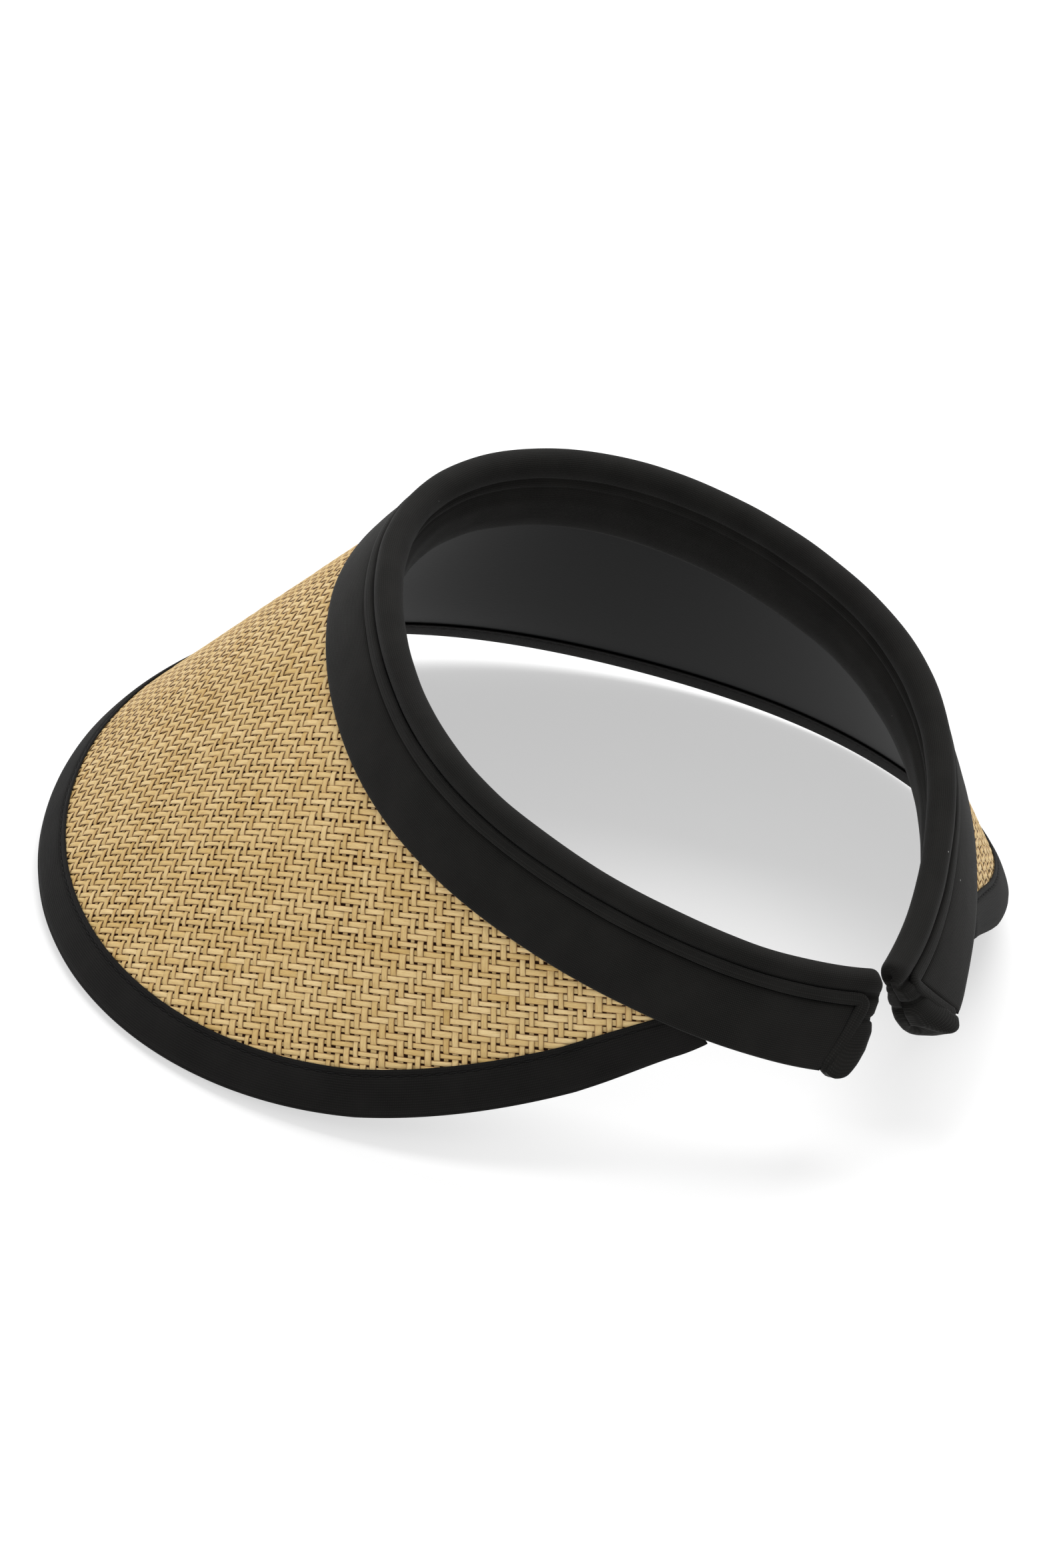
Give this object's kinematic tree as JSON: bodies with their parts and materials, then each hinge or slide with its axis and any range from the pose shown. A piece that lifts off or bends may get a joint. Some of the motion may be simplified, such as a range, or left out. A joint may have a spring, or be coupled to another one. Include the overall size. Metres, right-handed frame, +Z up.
{
  "type": "sun visor",
  "caption": "Clip-on sun visor: a C-shaped padded headband, open at the back, with a steep curved brim of woven straw edged with folded tape.",
  "frame": {"origin": "middle of the visor's footprint, on the table it stands on", "axes": "+Z up from the table, -Y the way the brim points, +X the wearer's left"},
  "size_m": [0.2798, 0.3012, 0.1252],
  "materials": {
    "straw": "flat paper straw in a two-over-two twill",
    "board": "thin flexible stiffening sheet",
    "lining": "smooth black lining with a satin sheen",
    "tape": "folded black binding tape",
    "thread": "black sewing thread",
    "knit": "fine black jersey",
    "welt": "folded black jersey strip",
    "foam": "soft foam padding",
    "spring": "springy plastic strip"
  },
  "bodies": {
    "visor_front": {"brim_straw": "straw", "brim_board": "board", "brim_lining": "lining", "brim_binding": "tape", "binding_stitches": "thread", "outer_panel_front": "knit", "inner_cover_front": "knit", "foam_pad_front": "foam", "spring_strip_front": "spring", "welt_front": "welt"},
    "left_end": {"outer_panel_left": "knit", "inner_cover_left": "knit", "foam_pad_left": "foam", "spring_strip_left": "spring", "welt_left": "welt", "end_lobe_left": "knit"},
    "right_end": {"outer_panel_right": "knit", "inner_cover_right": "knit", "foam_pad_right": "foam", "spring_strip_right": "spring", "welt_right": "welt", "end_lobe_right": "knit"}
  },
  "joints": [
    {"name": "left_end_flex", "type": "hinge", "parent": "visor_front", "child": "left_end", "pos_m": [0.03869, 0.12963, 0.0442], "axis": [0.4696, 0.2253, -0.8536], "range_deg": [-2, 20], "stiffness_Nm_per_rad": 0.5},
    {"name": "right_end_flex", "type": "hinge", "parent": "visor_front", "child": "right_end", "pos_m": [-0.03869, 0.12963, 0.0442], "axis": [0.4696, -0.2253, 0.8536], "range_deg": [-2, 20], "stiffness_Nm_per_rad": 0.5}
  ]
}
